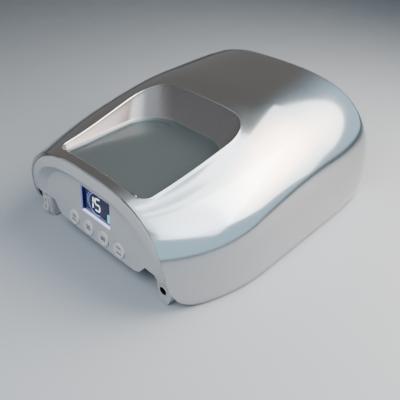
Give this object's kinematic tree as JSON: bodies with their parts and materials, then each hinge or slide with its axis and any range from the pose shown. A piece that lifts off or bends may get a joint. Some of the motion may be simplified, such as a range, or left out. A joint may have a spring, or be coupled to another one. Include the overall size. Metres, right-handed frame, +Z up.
{
  "type": "led nail lamp",
  "caption": "Rounded nail lamp with a hand tunnel, a dished recess on top, a control panel with display and round buttons, a rocker switch and a supply inlet.",
  "frame": {"origin": "the middle of the body's outline, on the table under it", "axes": "+Z up, -Y towards the control end, +X to the right when one looks at the controls"},
  "size_m": [0.214, 0.233, 0.1015],
  "materials": {
    "aurora_shell": "glossy silver with a faint pink, cyan and lilac shimmer",
    "light_panel": "satin light grey",
    "button_grey": "satin light grey with a dished face",
    "rocker_grey": "satin light grey",
    "clear_lens": "clear window",
    "lcd_dark": "dark violet display",
    "white_liner": "bright white lining",
    "base_plastic": "plain grey moulding",
    "circuit_board": "lacquered circuit board",
    "bead_white": "clear dome over a white base",
    "dark_plastic": "dark plastic",
    "tact_metal": "pressed steel",
    "jack_chrome": "plated contact",
    "screw_steel": "zinc-plated screw",
    "sink_aluminium": "plain extrusion",
    "cell_wrap": "metal can in a thin wrap",
    "strap_black": "woven strap",
    "foot_rubber": "soft foot",
    "lead_red": "insulated pair",
    "ribbon_grey": "flat ribbon"
  },
  "bodies": {
    "body": {"base_rail_left": "base_plastic", "base_rail_right": "base_plastic", "base_screws": "screw_steel", "battery_cells": "cell_wrap", "battery_straps": "strap_black", "battery_tray": "base_plastic", "board_screws": "screw_steel", "board_sockets": "dark_plastic", "capacitors": "tact_metal", "control_board": "circuit_board", "cover_screws": "screw_steel", "dc_jack": "jack_chrome", "display_lens": "clear_lens", "display_ribbon": "ribbon_grey", "front_panel": "light_panel", "hand_sensors": "dark_plastic", "heat_sink": "sink_aluminium", "inductor": "dark_plastic", "jack_lead": "lead_red", "jack_pin": "jack_chrome", "lcd_module": "lcd_dark", "led_beads_left": "bead_white", "led_beads_right": "bead_white", "led_beads_roof": "bead_white", "led_board_left": "circuit_board", "led_board_right": "circuit_board", "led_board_roof": "circuit_board", "led_screws_left": "screw_steel", "led_screws_right": "screw_steel", "led_screws_roof": "screw_steel", "main_board": "circuit_board", "mouth_frame": "light_panel", "outer_shell": "aurora_shell", "panel_screws": "screw_steel", "reflector_end": "white_liner", "reflector_left": "white_liner", "reflector_right": "white_liner", "reflector_roof": "white_liner", "rubber_feet": "foot_rubber", "service_cover": "base_plastic", "switch_housing": "light_panel", "switch_lead": "lead_red", "switch_terminals": "tact_metal", "tact_switches": "tact_metal", "tray_screws": "screw_steel"},
    "press_1": {"button_1": "button_grey", "tact_plunger_1": "dark_plastic"},
    "press_2": {"button_2": "button_grey", "tact_plunger_2": "dark_plastic"},
    "press_3": {"button_3": "button_grey", "tact_plunger_3": "dark_plastic"},
    "press_4": {"button_4": "button_grey", "tact_plunger_4": "dark_plastic"},
    "rocker": {"switch_rocker": "rocker_grey"}
  },
  "joints": [
    {"name": "press_1_travel", "type": "slide", "parent": "body", "child": "press_1", "axis": [0, 0.9952, -0.0976], "range_m": [0, 0.0005], "stiffness_N_per_m": 800, "springref_m": -0.0005},
    {"name": "press_2_travel", "type": "slide", "parent": "body", "child": "press_2", "axis": [0, 0.9952, -0.0976], "range_m": [0, 0.0005], "stiffness_N_per_m": 800, "springref_m": -0.0005},
    {"name": "press_3_travel", "type": "slide", "parent": "body", "child": "press_3", "axis": [0, 0.9952, -0.0976], "range_m": [0, 0.0005], "stiffness_N_per_m": 800, "springref_m": -0.0005},
    {"name": "press_4_travel", "type": "slide", "parent": "body", "child": "press_4", "axis": [0, 0.9952, -0.0976], "range_m": [0, 0.0005], "stiffness_N_per_m": 800, "springref_m": -0.0005},
    {"name": "rocker_tilt", "type": "hinge", "parent": "body", "child": "rocker", "pos_m": [-0.0736, -0.1103, 0.0136], "axis": [1, 0, 0], "range_deg": [0, 20]}
  ]
}
